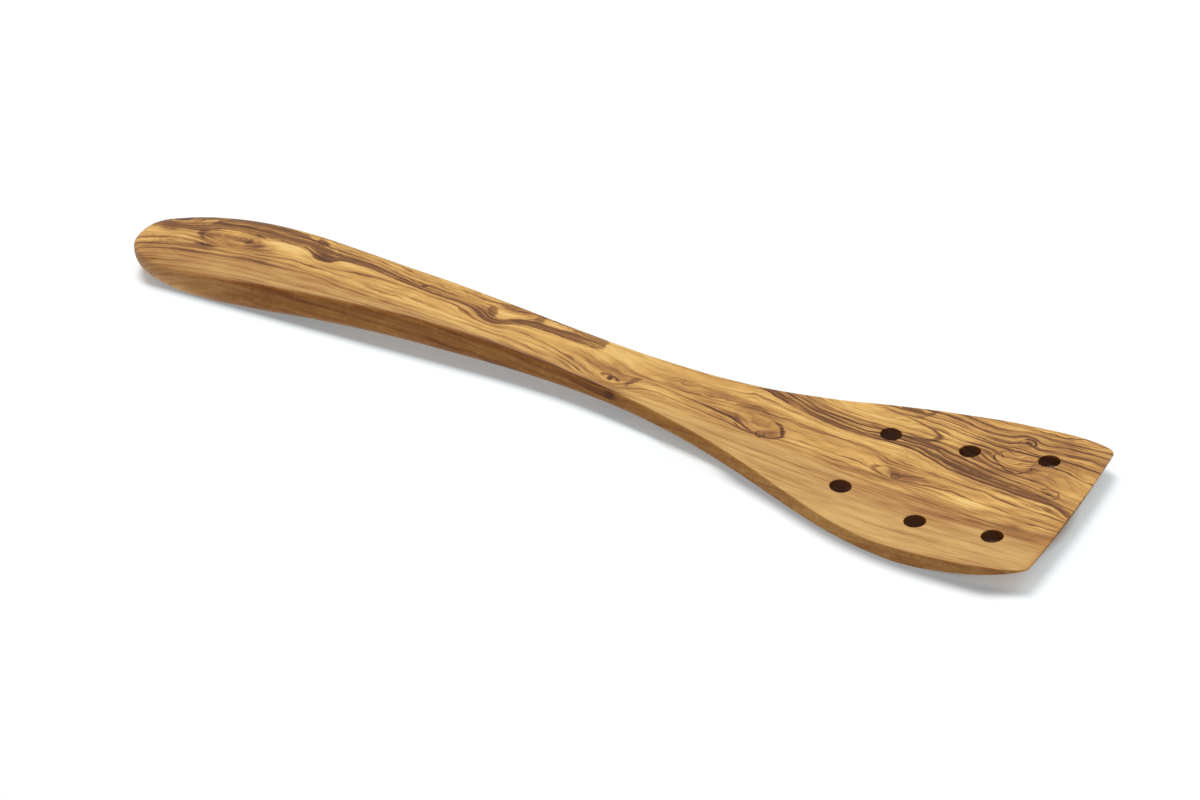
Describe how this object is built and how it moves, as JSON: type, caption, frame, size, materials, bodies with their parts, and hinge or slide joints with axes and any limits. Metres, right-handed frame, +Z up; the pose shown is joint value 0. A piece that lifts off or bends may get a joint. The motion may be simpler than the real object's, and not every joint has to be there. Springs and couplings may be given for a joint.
{
  "type": "wooden turner with drain holes",
  "caption": "One-piece olive-wood spatula: broad flat handle, narrow neck and a thin flared blade with round drain holes, bevelled to a straight front edge.",
  "frame": {"origin": "on the table under the middle of the tool's length, where it lies at rest", "axes": "+X along the length from the end of the handle to the front edge of the blade, +Y across the blade, +Z up from the table"},
  "size_m": [0.3, 0.0706, 0.017],
  "materials": {
    "olive_wood": "oiled, fine sanded, satin"
  },
  "bodies": {
    "root": {"spatula_body": "olive_wood"}
  },
  "joints": []
}
